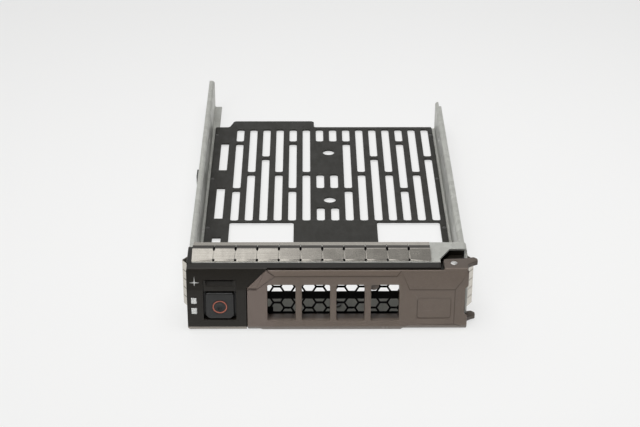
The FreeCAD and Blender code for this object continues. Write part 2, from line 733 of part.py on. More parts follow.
def handle():
    spans = handle_windows()
    inner = skin - 0.3
    rails_z = (window_bottom - collar_wall, window_top + collar_wall)
    collar = box((spans[0][0] - collar_wall, spans[-1][1] + collar_wall), (inner, collar_rear), rails_z)
    rim_x = (spans[0][0] - 2.7, spans[-1][1] + 2.7)
    rib_end = pivot_x - boss_r - 1.6
    ribs = [box(rim_x, (inner, rib_rear), (rails_z[0], rails_z[1] + 0.7))]
    ribs += [box((rim_x[1] - 1, rib_end), (inner, rib_rear), (z, z + rib_wall)) for z in rails_z]
    for x in (rim_x[1] + 3.0, rim_x[1] + 7.0):
        ribs.append(box((x, x + rib_wall), (inner, rib_rear - 0.6), rails_z))
    arm = box(catch_x, (inner, catch_rear), catch_z)
    tip = catch_x[0] - tooth_reach
    root = catch_x[0] + 0.2
    tooth = prism("z", [(root, tooth_front), (tip, tooth_front), (tip, tooth_front + 0.6),
                        (catch_x[0] - 0.2, catch_rear), (root, catch_rear)], catch_z[0], catch_z[1])
    gusset_low = catch_z[0] + 1.9
    gusset = box((catch_x[0], rim_x[0] + 0.5), (inner, rib_rear), (gusset_low, gusset_low + rib_wall))
    pieces = [handle_skin(), handle_pad(), collar, arm, tooth, gusset, ear(upper_ear), ear(lower_ear)]
    solid = joined(pieces + ribs)
    tools = [prism("y", rectangle(span, (window_bottom, window_top)), -1, collar_rear + 1, window_corner)
             for span in spans]
    tools.append(prism("y", rectangle(badge[:2], badge[2:]), -1, badge_depth, badge_corner))
    tools.append(rod("z", (pivot_x, pivot_y), -1, beyond_all, pin_r + ear_fit))
    nick_end, nick_low, nick_high, nick_depth = nick
    tools.append(box((handle_left - 1, nick_end), (-1, nick_depth), (nick_low, nick_high)))
    solid = without(solid, tools)
    boss_x, boss_z, boss_radius = stop_boss
    return joined([solid, rod("y", (boss_x, boss_z), skin + 0.4, rib_rear, boss_radius)])


def pivot_pin():
    shank = rod("z", (pivot_x, pivot_y), lower_ear[0], upper_ear[1] - 0.05, pin_r)
    head_top = lower_ear[0] - seat_gap
    head = rod("z", (pivot_x, pivot_y), head_top - pin_head, head_top, pin_head_r)
    neck = rod("z", (pivot_x, pivot_y), lower_ear[0] - 0.2, lower_ear[0] + 0.2, pin_r)
    return joined([shank, head, neck])


def handle_spring():
    # the free leg lies behind the handle and pushes it open
    wound = coil("z", (pivot_x, pivot_y), coil_bottom, coil_pitch, coil_turns, coil_r, wire_r)
    wound.rotate(V(pivot_x, pivot_y, 0), V(0, 0, 1), -90)
    top = coil_bottom + coil_pitch * coil_turns
    leg = Part.makeCylinder(wire_r, coil_leg, V(pivot_x + 0.3, pivot_y - coil_r, top), V(-1, -0.1, 0))
    return joined([wound, leg])


# ================================================================ release button and latch
def release_button():
    x0, x1 = button_x
    z0, z1 = button_z
    cut = button_corner
    points = [(x0 + cut, z0), (x1 - cut, z0), (x1, z0 + cut), (x1, z1), (x0, z1), (x0, z0 + cut)]
    head = prism("y", points, button_front, face_wall + 0.5, [0.4, 0.4, 0.4, 0.8, 0.8, 0.4])
    front = [e for e in head.Edges if all(abs(v.Point.y - button_front) < 1e-6 for v in e.Vertexes)]
    head = head.makeChamfer(0.3, front)
    low = face_wall + flange_gap
    spread = (rectangle((x0 - button_flange, x1 + button_flange), (z0 - button_flange, z1 + button_flange)))
    flange = prism("y", spread, low, low + flange_thick, 0.5)
    reach = wedge_tip - wedge_start
    wedge_plan = [(wedge_right, low), (wedge_right, wedge_tip), (wedge_left + reach, wedge_tip),
                  (wedge_left, wedge_start), (wedge_left, low)]
    wedge = prism("z", wedge_plan, wedge_z[0], wedge_z[1])
    cx, cz = ring_centre
    groove = rod("y", ring_centre, button_front - 1, button_front + ring_depth, ring_r[1])
    groove = groove.cut(rod("y", ring_centre, button_front - 1, button_front + ring_depth, ring_r[0]))
    ball = (dimple_r ** 2 + dimple_depth ** 2) / (2 * dimple_depth)
    dimple = Part.makeSphere(ball, V(cx, button_front + dimple_depth - ball, cz))
    return without(joined([head, flange, wedge]), [groove, dimple])


def button_ring():
    outer = rod("y", ring_centre, button_front - 0.05, button_front + ring_depth, ring_r[1] - bore_fit)
    inner_r = ring_r[0] + bore_fit
    return outer.cut(rod("y", ring_centre, button_front - 1, button_front + ring_depth + 1, inner_r))


def latch_slider():
    y0, y1 = slider_y
    nose = catch_x[0] - tooth_reach - nose_gap
    bar_plan = [(slider_left, y0), (nose - nose_bevel, y0), (nose, y0 + nose_bevel), (nose, y1),
                (slider_left, y1)]
    bar = prism("z", bar_plan, slider_bar_z[0], slider_bar_z[1])
    shift = cam_gap * math.sqrt(2)
    ramp_start = wedge_left + (y0 - wedge_start) - shift
    ramp_plan = [(slider_left, y0), (ramp_start, y0), (ramp_start + y1 - y0, y1), (slider_left, y1)]
    ramp = prism("z", ramp_plan, slider_bar_z[0], wedge_z[1])
    finger = box(lug, slider_y, (lug_bottom, slider_bar_z[0] + 0.2))
    return joined([bar, ramp, finger])


def latch_spring():
    start = lug[1] + spring_wire_r + seat_gap
    end = case_x[1] - case_wall - spring_wire_r - seat_gap
    centre = ((slider_y[0] + slider_y[1]) / 2, spring_z)
    return coil("x", centre, start, (end - start) / spring_turns, spring_turns, spring_coil_r, spring_wire_r)


def latch_housing():
    x0, x1 = case_x
    z0, z1 = case_z
    wall = case_wall
    back = box(case_x, (case_rear - wall, case_rear), case_z)
    floor = box(case_x, (case_front, case_rear), (z0, z0 + wall))
    roof = box(case_x, (case_front, case_rear), (z1 - wall, z1))
    ends = [box(span, (case_front, case_rear), case_z) for span in ((x0, x0 + wall), (x1 - wall, x1))]
    guide_y = (slider_y[1] + slide_gap, case_rear - wall / 2)
    shelf = box(case_x, guide_y, (slider_bar_z[0], slider_bar_z[1] - 0.1))
    under = box(case_x, guide_y, (z0, lug_bottom + 0.6))
    flag_face = rectangle(case_x, (z1 - wall, case_ear_top))
    flag = prism("y", flag_face, case_front, case_front + wall, [0, 0, 2.0, 2.0])
    body = joined([back, floor, roof, shelf, under, flag] + ends)
    gate = box((x1 - wall - 1, x1 + 1), (case_front - 1, slider_y[1] + slide_gap),
               (slider_bar_z[0] - slide_gap, slider_bar_z[1] + slide_gap))
    hole_y = (case_front - 1, case_front + wall + 1)
    holes = [rod("y", (x, screw_z), *hole_y, screw_r + rim_gap) for x in screw_x]
    return without(body, [gate] + holes)


def housing_screws():
    seat = case_front + case_wall + seat_gap
    crown = seat + screw_head
    arm, half, deep = screw_slot
    slot_y = (crown - deep, crown + 1)
    made = []
    for x in screw_x:
        shank = rod("y", (x, screw_z), face_wall + 1.0, seat + 0.2, screw_r)
        head = rod("y", (x, screw_z), seat, crown, screw_head_r)
        cross = [box((x - arm, x + arm), slot_y, (screw_z - half, screw_z + half)),
                 box((x - half, x + half), slot_y, (screw_z - arm, screw_z + arm))]
        made.append(without(joined([shank, head]), cross))
    return Part.makeCompound(made)


# ================================================================ light pipes
def light_pipe(lens, level, rise_start, rise_end):
    # the head behind the lens, a rise inside the frame, then a jog out through the rail to its far end
    drop = level - lens[0]
    size = pipe_size
    side = [(lens_front, lens[0]), (rise_start, lens[0]), (rise_end, lens[0] + drop),
            (pipe_jog[0] - 1, level), (pipe_jog[0] - 1, level + size), (rise_end, level + size),
            (rise_start, lens[1]), (lens_front, lens[1])]
    flat = []
    for point in side:
        if not flat or math.dist(point, flat[-1]) > 1e-6:
            flat.append(point)
    stem = prism("x", flat, pipe_x[0], pipe_x[1])
    head = box(lens_x, (lens_front, face_wall + 1.4), lens)
    outer_x = (-pipe_outer - size, -pipe_outer)
    j0, j1 = pipe_jog
    bend = 0.6
    plan = [(pipe_x[1], j0 - 1.5), (pipe_x[1], j0 + bend), (outer_x[1], j1 + bend),
            (outer_x[1], left_rail_end), (outer_x[0], left_rail_end), (outer_x[0], j1),
            (pipe_x[0], j0), (pipe_x[0], j0 - 1.5)]
    run = prism("z", plan, level, level + size, [0, 0.5, 0.5, 0, 0, 1.5, 1.5, 0])
    return joined([stem, head, run])


def light_pipe_clip():
    inner = (-pipe_outer - pipe_size - 0.05, -wall_outer - seat_gap)
    low = lower_pipe - 0.05
    high = upper_pipe + pipe_size + 0.05
    outer = (inner[0] - clip_wall, inner[1])
    body = box(outer, (clip_y, clip_y + clip_length), (low - clip_wall, high + 0.05))
    return body.cut(box((inner[0], inner[1] + 1), (clip_y - 1, clip_y + clip_length + 1), (low, high + 1)))


# ================================================================ contact strips
def top_gasket():
    base = frame_top + strip_thick / 2 + 0.02
    rear_ridge, front_ridge = strip_ridge
    path = [(strip_rear, base), (strip_heel, base), (strip_heel - rear_ridge, base + strip_crest),
            (strip_heel - front_ridge, base + strip_crest + 0.1), (strip_front, base)]
    strip = folded("x", path, strip_thick, bend_r, strip_left, strip_right)
    tools = []
    for i in range(1, finger_count):
        x = strip_left + i * finger_pitch
        span = (x - finger_slit / 2, x + finger_slit / 2)
        tools.append(box(span, (0, strip_heel + 1.2), (frame_top - 1, frame_top + 5)))
        for y in (strip_heel - 0.9, strip_front + 0.7):
            tools.append(rod("z", (x, y), frame_top - 1, frame_top + 5, relief_r))
    return without(strip, tools)


def side_gasket():
    # drawn for the right side
    y0, y1, y2, y3 = side_strip_y
    base = frame_half + strip_thick / 2 + 0.02
    path = [(base, y3), (base, y2), (base + side_strip_reach, y1), (base, y0)]
    strip = folded("z", path, strip_thick, 0.5, side_strip_z[0], side_strip_z[1])
    pitch = (side_strip_z[1] - side_strip_z[0]) / side_fingers
    tools = []
    for i in range(1, side_fingers):
        z = side_strip_z[0] + i * pitch
        gap = (z - finger_slit / 2, z + finger_slit / 2)
        tools.append(box((frame_half - 1, frame_half + 5), (0, y2 + 0.8), gap))
    return without(strip, tools)


# ================================================================ rivets
def plate_rivets():
    return Part.makeCompound([rod("z", spot, 0, plate_top, plate_rivet_r) for spot in plate_rivet_spots()])


def frame_rivets():
    made = []
    inside = frame_half - sheet - seat_gap - sheet
    for side in (-1, 1):
        for z in side_rivets_z:
            shank = sorted((side * inside, side * frame_half))
            head = sorted((side * (inside - rivet_head), side * inside))
            made.append(joined([rod("x", (side_rivet_y, z), shank[0], shank[1], side_rivet_r),
                                rod("x", (side_rivet_y, z), head[0], head[1], side_rivet_r * 1.4)]))
    return Part.makeCompound(made)


def floor_rivets():
    made = []
    top = frame_bottom + sheet
    for x in floor_rivets_x:
        spot = (x, floor_rivet_y)
        made.append(joined([rod("z", spot, plate_bottom, top, floor_rivet_r),
                            rod("z", spot, top, top + rivet_head, floor_rivet_r * 1.5)]))
    return Part.makeCompound(made)


def main():
    os.makedirs("parts", exist_ok=True)
    save("base_plate", base_plate())
    save("left_rail", left_rail())
    save("right_rail", right_rail())
    save("front_frame", front_frame())
    save("front_bezel", front_bezel())
    save("mesh_screen", mesh_screen())
    save("handle", handle())
    save("pivot_pin", pivot_pin())
    save("handle_spring", handle_spring())
    save("release_button", release_button())
    save("button_ring", button_ring())
    save("latch_slider", latch_slider())
    save("latch_spring", latch_spring())
    save("latch_housing", latch_housing())
    save("housing_screws", housing_screws())
    save("upper_light_pipe", light_pipe(upper_lens, upper_pipe, face_depth, face_depth + 2))
    save("lower_light_pipe", light_pipe(lower_lens, lower_pipe, face_depth + 3, face_depth + 9))
    save("light_pipe_clip", light_pipe_clip())
    save("top_gasket", top_gasket())
    save("left_gasket", mirrored(side_gasket()))
    save("right_gasket", side_gasket())
    save("plate_rivets", plate_rivets())
    save("frame_rivets", frame_rivets())
    save("floor_rivets", floor_rivets())


main()
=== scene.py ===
import bpy
import bmesh
import json
import math
from mathutils import Matrix, Vector
from mathutils.bvhtree import BVHTree


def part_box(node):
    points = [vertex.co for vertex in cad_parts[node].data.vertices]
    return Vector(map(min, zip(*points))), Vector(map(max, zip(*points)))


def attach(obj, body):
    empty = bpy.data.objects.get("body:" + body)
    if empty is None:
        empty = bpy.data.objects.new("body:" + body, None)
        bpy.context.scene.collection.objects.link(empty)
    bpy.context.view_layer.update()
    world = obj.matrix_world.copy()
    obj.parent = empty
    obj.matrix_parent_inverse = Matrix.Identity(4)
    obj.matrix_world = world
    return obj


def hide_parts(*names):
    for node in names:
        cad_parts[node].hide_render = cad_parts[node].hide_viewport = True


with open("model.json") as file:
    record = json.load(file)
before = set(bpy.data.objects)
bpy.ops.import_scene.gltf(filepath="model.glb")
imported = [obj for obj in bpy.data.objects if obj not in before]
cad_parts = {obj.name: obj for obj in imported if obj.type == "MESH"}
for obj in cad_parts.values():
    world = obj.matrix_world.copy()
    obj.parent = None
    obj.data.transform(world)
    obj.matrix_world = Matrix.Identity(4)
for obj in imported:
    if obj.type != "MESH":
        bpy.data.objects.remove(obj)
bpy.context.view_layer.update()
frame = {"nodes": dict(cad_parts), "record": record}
scene = bpy.context.scene
nodes = frame["nodes"]
mm = 0.001
slotOf = {part["node"]: part["material_slot"] for part in frame["record"]["subparts"]}
print("caddy: frame loaded,", len(nodes), "nodes")


def put(tree, socket, value):
    if isinstance(value, bpy.types.NodeSocket):
        tree.links.new(value, socket)
    else:
        socket.default_value = value


def addNode(tree, kind, settings, inputs):
    made = tree.nodes.new(kind)
    for key, value in settings.items():
        setattr(made, key, value)
    for key, value in inputs.items():
        put(tree, made.inputs[key], value)
    return made


def calc(tree, operation, first, second=0.0):
    return addNode(tree, "ShaderNodeMath", {"operation": operation}, {0: first, 1: second}).outputs[0]


def remap(tree, value, low, high, toLow=0.0, toHigh=1.0):
    made = addNode(tree, "ShaderNodeMapRange", {"clamp": True, "interpolation_type": "SMOOTHSTEP"},
                   {"Value": value, "From Min": low, "From Max": high, "To Min": toLow, "To Max": toHigh})
    return made.outputs["Result"]


def mixColour(tree, share, first, second):
    made = tree.nodes.new("ShaderNodeMix")
    made.data_type = "RGBA"
    for socket, value in ((made.inputs["Factor"], share), (made.inputs[6], first), (made.inputs[7], second)):
        put(tree, socket, (*value, 1) if isinstance(value, tuple) else value)
    return made.outputs[2]


def lay(tree, mask, share, under, over):
    return mixColour(tree, calc(tree, "MULTIPLY", mask, share), under, over)


def shade(colour, share):
    return tuple(c * share for c in colour)


def stretched(tree, position, scale):
    made = addNode(tree, "ShaderNodeVectorMath", {"operation": "MULTIPLY"}, {0: position, 1: scale})
    return made.outputs[0]


def axisOf(tree, position, axis):
    return addNode(tree, "ShaderNodeSeparateXYZ", {}, {0: position}).outputs[axis]


def reachFrom(tree, position, centre, plane):
    offset = addNode(tree, "ShaderNodeVectorMath", {"operation": "SUBTRACT"}, {0: position, 1: centre}).outputs[0]
    return addNode(tree, "ShaderNodeVectorMath", {"operation": "LENGTH"},
                   {0: stretched(tree, offset, plane)}).outputs["Value"]


def noise(tree, position, scale, detail=2.0, rough=0.5):
    made = addNode(tree, "ShaderNodeTexNoise", {"noise_dimensions": "3D"},
                   {"Vector": position, "Scale": scale, "Detail": detail, "Roughness": rough})
    return made.outputs[0]


def bump(tree, height, depth, normal=None):
    made = addNode(tree, "ShaderNodeBump", {}, {"Height": height, "Distance": depth, "Strength": 1.0})
    if normal is not None:
        tree.links.new(normal, made.inputs["Normal"])
    return made.outputs[0]


def startGroup(name, inputs, outputs):
    group = bpy.data.node_groups.new(name, "ShaderNodeTree")
    for label, value in inputs.items():
        kind = "NodeSocketVector" if isinstance(value, tuple) else "NodeSocketFloat"
        group.interface.new_socket(label, in_out="INPUT", socket_type=kind).default_value = value
    for label in outputs:
        kind = "NodeSocketVector" if label == "Normal" else "NodeSocketFloat"
        group.interface.new_socket(label, in_out="OUTPUT", socket_type=kind)
    return group, group.nodes.new("NodeGroupInput").outputs, group.nodes.new("NodeGroupOutput").inputs


# noise scales are counts per metre, pitches and depths are metres, and pairs are the start and end of a ramp
grainPlan = {"rough": 0.6, "coarse": 0.23, "share": 0.5}


def makeMouldGrain():
    group, given, result = startGroup("mouldGrain", {"Position": (0, 0, 0), "Pitch": 0.0004, "Depth": 0.00001},
                                      ["Value", "Normal"])
    scale = calc(group, "DIVIDE", 1.0, given["Pitch"])
    fine = noise(group, given["Position"], scale, 2.0, grainPlan["rough"])
    coarse = noise(group, given["Position"], calc(group, "MULTIPLY", scale, grainPlan["coarse"]), 1.0)
    height = calc(group, "ADD", fine, calc(group, "MULTIPLY", coarse, grainPlan["share"]))
    put(group, result["Value"], fine)
    put(group, result["Normal"], bump(group, height, given["Depth"]))
    return group


filmPlan = {"broad": 70.0, "smear": 420.0, "pull": (1.0, 0.35, 0.5), "film": (0.75, 1.3), "specks": 1900.0,
            "speck": (0.68, 0.76), "lines": (160.0, 2600.0, 900.0), "gates": 55.0, "gate": (0.5, 0.66),
            "scratch": (0.66, 0.72)}


def makeHandlingFilm():
    group, given, result = startGroup("handlingFilm", {"Position": (0, 0, 0)}, ["Film", "Speck", "Scratch"])
    broad = noise(group, given["Position"], filmPlan["broad"], 3.0, 0.6)
    smear = noise(group, stretched(group, given["Position"], filmPlan["pull"]), filmPlan["smear"], 2.0, 0.55)
    put(group, result["Film"], remap(group, calc(group, "ADD", broad, smear), *filmPlan["film"]))
    specks = noise(group, given["Position"], filmPlan["specks"], 1.0)
    put(group, result["Speck"], remap(group, specks, *filmPlan["speck"]))
    lines = noise(group, stretched(group, given["Position"], filmPlan["lines"]), 1.0, 1.0)
    gate = remap(group, noise(group, given["Position"], filmPlan["gates"], 1.0), *filmPlan["gate"])
    put(group, result["Scratch"], calc(group, "MULTIPLY", remap(group, lines, *filmPlan["scratch"]), gate))
    return group


wearPlan = {"patches": 260.0, "start": 0.78, "reach": 0.5, "ramp": 0.16}


def makeEdgeWear():
    group, given, result = startGroup("edgeWear", {"Position": (0, 0, 0), "Edge": 0.0, "Amount": 0.5}, ["Mask"])
    patches = noise(group, given["Position"], wearPlan["patches"], 3.0, 0.65)
    start = calc(group, "SUBTRACT", wearPlan["start"], calc(group, "MULTIPLY", given["Amount"], wearPlan["reach"]))
    worn = addNode(group, "ShaderNodeMapRange", {"clamp": True},
                   {"Value": patches, "From Min": start, "From Max": calc(group, "ADD", start, wearPlan["ramp"])})
    put(group, result["Mask"], calc(group, "MULTIPLY", worn.outputs["Result"], given["Edge"]))
    return group


dustPlan = {"clouds": 160.0, "cloud": (0.42, 0.72), "cloudShare": 0.4, "grits": 2600.0, "grit": (0.6, 0.72),
            "gritShare": 0.6, "up": (0.5, 0.95)}


def makeDustFall():
    group, given, result = startGroup("dustFall", {"Position": (0, 0, 0), "Up": 0.0}, ["Mask"])
    cloud = remap(group, noise(group, given["Position"], dustPlan["clouds"], 3.0, 0.7), *dustPlan["cloud"])
    grit = remap(group, noise(group, given["Position"], dustPlan["grits"], 1.0), *dustPlan["grit"])
    both = calc(group, "ADD", calc(group, "MULTIPLY", cloud, dustPlan["cloudShare"]),
                calc(group, "MULTIPLY", grit, dustPlan["gritShare"]))
    put(group, result["Mask"], calc(group, "MULTIPLY", both, remap(group, given["Up"], *dustPlan["up"])))
    return group


spanglePlan = {"drift": 420.0, "shift": 0.0016, "fine": 1500.0, "fineDepth": 0.000006, "cellDepth": 0.00002}


def makeZincSpangle():
    group, given, result = startGroup("zincSpangle", {"Position": (0, 0, 0), "Pitch": 0.003},
                                      ["Cell", "Fine", "Normal"])
    scale = calc(group, "DIVIDE", 1.0, given["Pitch"])
    drift = addNode(group, "ShaderNodeTexNoise", {},
                    {"Vector": given["Position"], "Scale": spanglePlan["drift"], "Detail": 2.0})
    shift = addNode(group, "ShaderNodeVectorMath", {"operation": "SCALE"},
                    {0: drift.outputs[1], "Scale": spanglePlan["shift"]})
    place = addNode(group, "ShaderNodeVectorMath", {"operation": "ADD"}, {0: given["Position"], 1: shift.outputs[0]})
    cells = addNode(group, "ShaderNodeTexVoronoi", {"feature": "F1"}, {"Vector": place.outputs[0], "Scale": scale})
    parts = addNode(group, "ShaderNodeSeparateColor", {}, {0: cells.outputs["Color"]})
    fine = noise(group, given["Position"], spanglePlan["fine"], 3.0, 0.65)
    put(group, result["Cell"], parts.outputs[0])
    put(group, result["Fine"], fine)
    domes = bump(group, cells.outputs["Distance"], spanglePlan["cellDepth"])
    put(group, result["Normal"], bump(group, fine, spanglePlan["fineDepth"], domes))
    return group


def makeRolledLines():
    group, given, result = startGroup("rolledLines", {"Position": (0, 0, 0), "Along": (1, 1, 1), "Depth": 0.000004},
                                      ["Value", "Normal"])
    lines = noise(group, stretched(group, given["Position"], given["Along"]), 1.0, 3.0, 0.6)
    put(group, result["Value"], lines)
    put(group, result["Normal"], bump(group, lines, given["Depth"]))
    return group


groups = {"grain": makeMouldGrain(), "film": makeHandlingFilm(), "wear": makeEdgeWear(), "dust": makeDustFall(),
          "spangle": makeZincSpangle(), "rolled": makeRolledLines()}
print("caddy: surface groups made")


def startMaterial(name, **shader):
    made = bpy.data.materials.new(name)
    made.use_nodes = True
    tree = made.node_tree
    tree.nodes.clear()
    out = tree.nodes.new("ShaderNodeOutputMaterial")
    skin = tree.nodes.new("ShaderNodeBsdfPrincipled")
    for label, value in shader.items():
        skin.inputs[label.replace("_", " ")].default_value = value
    tree.links.new(skin.outputs[0], out.inputs[0])
    place = tree.nodes.new("ShaderNodeTexCoord").outputs["Object"]
    return made, tree, skin, place


def useGroup(tree, which, inputs):
    made = tree.nodes.new("ShaderNodeGroup")
    made.node_tree = groups[which]
    for label, value in inputs.items():
        put(tree, made.inputs[label], value)
    return made.outputs


def edgeOf(tree):
    return addNode(tree, "ShaderNodeAttribute", {"attribute_name": "softEdge"}, {}).outputs["Fac"]


# painted shade: the crevice attribute marks concave bevel strips, where the plastic is drawn darker as shade
def creviceShadeOf(tree):
    return addNode(tree, "ShaderNodeAttribute", {"attribute_name": "crevice"}, {}).outputs["Fac"]


def upOf(tree):
    return axisOf(tree, tree.nodes.new("ShaderNodeNewGeometry").outputs["Normal"], 2)


# painted highlight: a lighter strip along the lower front edge stands in for light on the foot bevel, beside its real
# gloss; painted shade on the ledges behind the front face, from where they start
footBand = {"height": (1.45 * mm, 1.65 * mm), "depth": (1.2 * mm, 1.6 * mm), "shine": 0.5, "polish": 0.2,
            "litTone": (0.175, 0.152, 0.13)}
recessShadeDepth = (1.2 * mm, 2.0 * mm)


def footOf(tree, place):
    under = remap(tree, axisOf(tree, place, 2), *footBand["height"], 1.0, 0.0)
    return calc(tree, "MULTIPLY", under, remap(tree, axisOf(tree, place, 1), *footBand["depth"], 1.0, 0.0))


# shares of each layer, and the colours that lie over the plastic's own; the crease, recess, foot and left-end layers
# are painted shade and painted light
mould = {"light": 1.14, "lift": 0.003, "grain": (0.3, 0.7), "smear": 0.16, "smeared": 0.8, "scratch": 0.22,
         "rub": 0.75, "dust": (0.42, 0.40, 0.37), "creviceShade": 0.8, "deep": 0.25, "inside": 0.3, "leftLightShare": 0.42, "foot": 0.9,
         "grease": 0.12, "polished": 0.06}


def mouldedPlastic(name, colour, worn, rough, pitch=0.00035, depth=0.000012, dusty=0.10, amount=0.35, spec=0.5,
                   recessShade=0.0, footTone=footBand["litTone"], leftLight=None):
    made, tree, skin, place = startMaterial(name)
    grain = useGroup(tree, "grain", {"Position": place, "Pitch": pitch, "Depth": depth})
    film = useGroup(tree, "film", {"Position": place})
    wear = useGroup(tree, "wear", {"Position": place, "Edge": edgeOf(tree), "Amount": amount})
    dust = useGroup(tree, "dust", {"Position": place, "Up": upOf(tree)})
    light = tuple(min(1.0, c * mould["light"] + mould["lift"]) for c in colour)
    base = mixColour(tree, remap(tree, grain["Value"], *mould["grain"]), colour, light)
    base = lay(tree, film["Film"], mould["smear"], base, shade(colour, mould["smeared"]))
    base = lay(tree, film["Scratch"], mould["scratch"], base, worn)
    base = lay(tree, wear["Mask"], mould["rub"], base, worn)
    base = lay(tree, dust["Mask"], dusty, base, mould["dust"])
    # painted shade: creases are drawn darker towards the deep share of the colour
    base = lay(tree, creviceShadeOf(tree), mould["creviceShade"], base, shade(colour, mould["deep"]))
    # painted shade: faces set back behind the front face are drawn darker
    recessShadeMask = remap(tree, axisOf(tree, place, 1), *recessShadeDepth)
    base = lay(tree, recessShadeMask, recessShade, base, shade(colour, mould["inside"]))
    # painted light: when given, the plastic is drawn lighter towards its left end
    if leftLight:
        base = mixColour(tree, remap(tree, axisOf(tree, place, 0), *leftLight, mould["leftLightShare"], 0.0), base, worn)
    # painted highlight: the lower front strip is drawn in a lighter tone; its added shine and polish are real gloss
    foot = footOf(tree, place)
    base = lay(tree, foot, mould["foot"], base, footTone)
    put(tree, skin.inputs["Base Color"], base)
    shine = calc(tree, "MULTIPLY", foot, footBand["shine"])
    put(tree, skin.inputs["Specular IOR Level"], calc(tree, "ADD", shine, spec))
    polish = calc(tree, "MULTIPLY", foot, footBand["polish"])
    change = calc(tree, "SUBTRACT", calc(tree, "MULTIPLY", film["Film"], mould["grease"]), polish)
    put(tree, skin.inputs["Roughness"], calc(tree, "ADD", change, rough - mould["polished"]))
    put(tree, skin.inputs["Normal"], grain["Normal"])
    return made


coat = {"pitch": 0.0006, "depth": 0.000008, "rub": 0.42, "film": 0.3, "light": 1.35, "scratch": 0.12,
        "scratched": (0.16, 0.16, 0.15), "dust": (0.36, 0.35, 0.32), "bare": 0.8, "steel": (0.34, 0.34, 0.32),
        "grease": 0.14, "polished": 0.07}


def coatedSheet(name, colour, rough, dusty, spec=0.5):
    made, tree, skin, place = startMaterial(name, Specular_IOR_Level=spec)
    grain = useGroup(tree, "grain", {"Position": place, "Pitch": coat["pitch"], "Depth": coat["depth"]})
    film = useGroup(tree, "film", {"Position": place})
    wear = useGroup(tree, "wear", {"Position": place, "Edge": edgeOf(tree), "Amount": coat["rub"]})
    dust = useGroup(tree, "dust", {"Position": place, "Up": upOf(tree)})
    base = lay(tree, film["Film"], coat["film"], colour, shade(colour, coat["light"]))
    base = lay(tree, film["Scratch"], coat["scratch"], base, coat["scratched"])
    base = lay(tree, dust["Mask"], dusty, base, coat["dust"])
    bare = calc(tree, "MULTIPLY", wear["Mask"], coat["bare"])
    put(tree, skin.inputs["Base Color"], mixColour(tree, bare, base, coat["steel"]))
    put(tree, skin.inputs["Metallic"], bare)
    change = calc(tree, "MULTIPLY", film["Film"], coat["grease"])
    put(tree, skin.inputs["Roughness"], calc(tree, "ADD", change, rough - coat["polished"]))
    put(tree, skin.inputs["Normal"], grain["Normal"])
    return made


zinc = {"metal": 0.6, "pitch": 0.0032, "rub": 0.6, "cell": 0.5, "film": 0.3, "speck": 0.35, "specked": 0.5, "bare": 0.6,
        "bright": (0.72, 0.72, 0.70), "cellRough": 0.12, "fineRough": 0.14, "polished": 0.13}


def zincSheet(name, colour, dull, rough):
    made, tree, skin, place = startMaterial(name, Metallic=zinc["metal"])
    spangle = useGroup(tree, "spangle", {"Position": place, "Pitch": zinc["pitch"]})
    film = useGroup(tree, "film", {"Position": place})
    wear = useGroup(tree, "wear", {"Position": place, "Edge": edgeOf(tree), "Amount": zinc["rub"]})
    base = lay(tree, spangle["Cell"], zinc["cell"], colour, dull)
    base = lay(tree, film["Film"], zinc["film"], base, dull)
    base = lay(tree, film["Speck"], zinc["speck"], base, shade(dull, zinc["specked"]))
    base = lay(tree, wear["Mask"], zinc["bare"], base, zinc["bright"])
    put(tree, skin.inputs["Base Color"], base)
    change = calc(tree, "ADD", calc(tree, "MULTIPLY", spangle["Cell"], zinc["cellRough"]),
                  calc(tree, "MULTIPLY", spangle["Fine"], zinc["fineRough"]))
    put(tree, skin.inputs["Roughness"], calc(tree, "ADD", change, rough - zinc["polished"]))
    put(tree, skin.inputs["Normal"], spangle["Normal"])
    return made


# crease and creased set the painted shade band across the strip's ridge
drawn = {"rub": 0.7, "darker": 0.72, "lines": (0.3, 0.7), "lined": 0.45, "film": 0.25, "bare": 0.5,
         "bright": (0.8, 0.79, 0.77), "crease": 0.95, "creased": 0.12, "lineRough": 0.16, "filmRough": 0.1,
         "polished": 0.13}


def drawnMetal(name, colour, rough, along, depth=0.000004, crease=None):
    made, tree, skin, place = startMaterial(name, Metallic=1.0)
    lines = useGroup(tree, "rolled", {"Position": place, "Along": along, "Depth": depth})
    film = useGroup(tree, "film", {"Position": place})
    wear = useGroup(tree, "wear", {"Position": place, "Edge": edgeOf(tree), "Amount": drawn["rub"]})
    darker = shade(colour, drawn["darker"])
    base = lay(tree, remap(tree, lines["Value"], *drawn["lines"]), drawn["lined"], colour, darker)
    base = lay(tree, film["Film"], drawn["film"], base, darker)
    base = lay(tree, wear["Mask"], drawn["bare"], base, drawn["bright"])
    # painted shade: a dark band across the strip's crease ridge
    if crease:
        deep = axisOf(tree, place, 1)
        band = calc(tree, "MULTIPLY", remap(tree, deep, *crease["front"]),
                    remap(tree, deep, *crease["rear"], 1.0, 0.0))
        band = calc(tree, "MULTIPLY", band, remap(tree, axisOf(tree, place, 2), *crease["height"]))
        base = lay(tree, band, drawn["crease"], base, shade(colour, drawn["creased"]))
    put(tree, skin.inputs["Base Color"], base)
    change = calc(tree, "MULTIPLY", lines["Value"], drawn["lineRough"])
    change = calc(tree, "ADD", change, calc(tree, "MULTIPLY", film["Film"], drawn["filmRough"]))
    put(tree, skin.inputs["Roughness"], calc(tree, "ADD", change, rough - drawn["polished"]))
    put(tree, skin.inputs["Normal"], lines["Normal"])
    return made


ink = {"pitch": 0.0002, "depth": 0.000008, "chips": 1400.0, "chip": (0.62, 0.72, 0.0, 0.5), "chipped": 0.45,
       "rough": (0.2, 0.8, 0.42, 0.62)}


